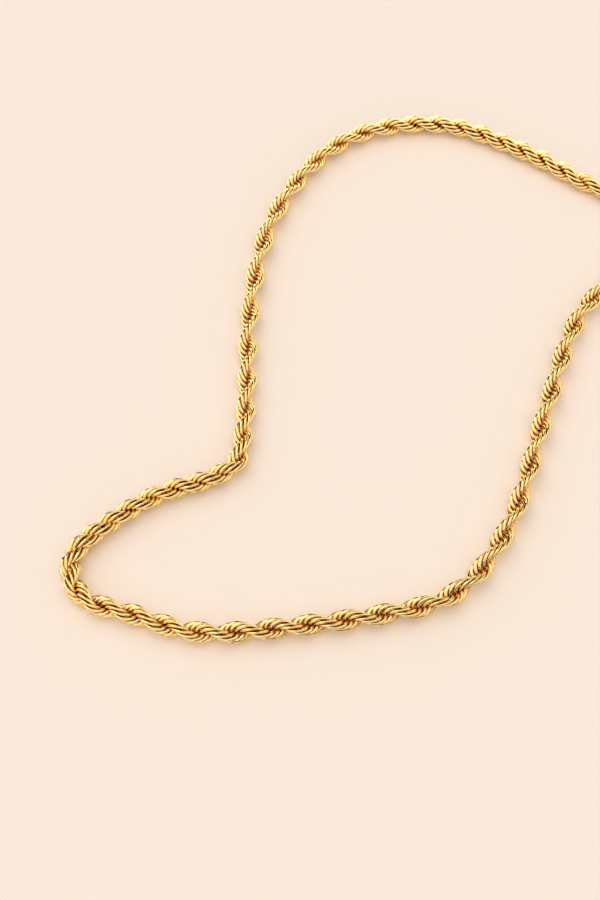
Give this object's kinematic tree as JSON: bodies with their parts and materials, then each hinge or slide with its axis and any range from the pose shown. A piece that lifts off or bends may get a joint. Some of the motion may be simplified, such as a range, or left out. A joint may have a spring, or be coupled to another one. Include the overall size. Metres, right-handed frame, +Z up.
{
  "type": "rope chain necklace",
  "caption": "Closed loop of right-hand twisted rope chain laid flat, its two ends joined by a plain barrel clasp.",
  "frame": {"origin": "centre of the necklace's own box, on the surface that it lies on", "axes": "+X to the right in the picture's view, towards the clasp; +Y away from the viewer; +Z up"},
  "size_m": [0.1706, 0.0967, 0.004],
  "materials": {
    "rope_gold": "polished",
    "clasp_gold": "polished"
  },
  "bodies": {
    "root": {"rope_far": "rope_gold", "rope_near": "rope_gold", "barrel_clasp": "clasp_gold"}
  },
  "joints": []
}
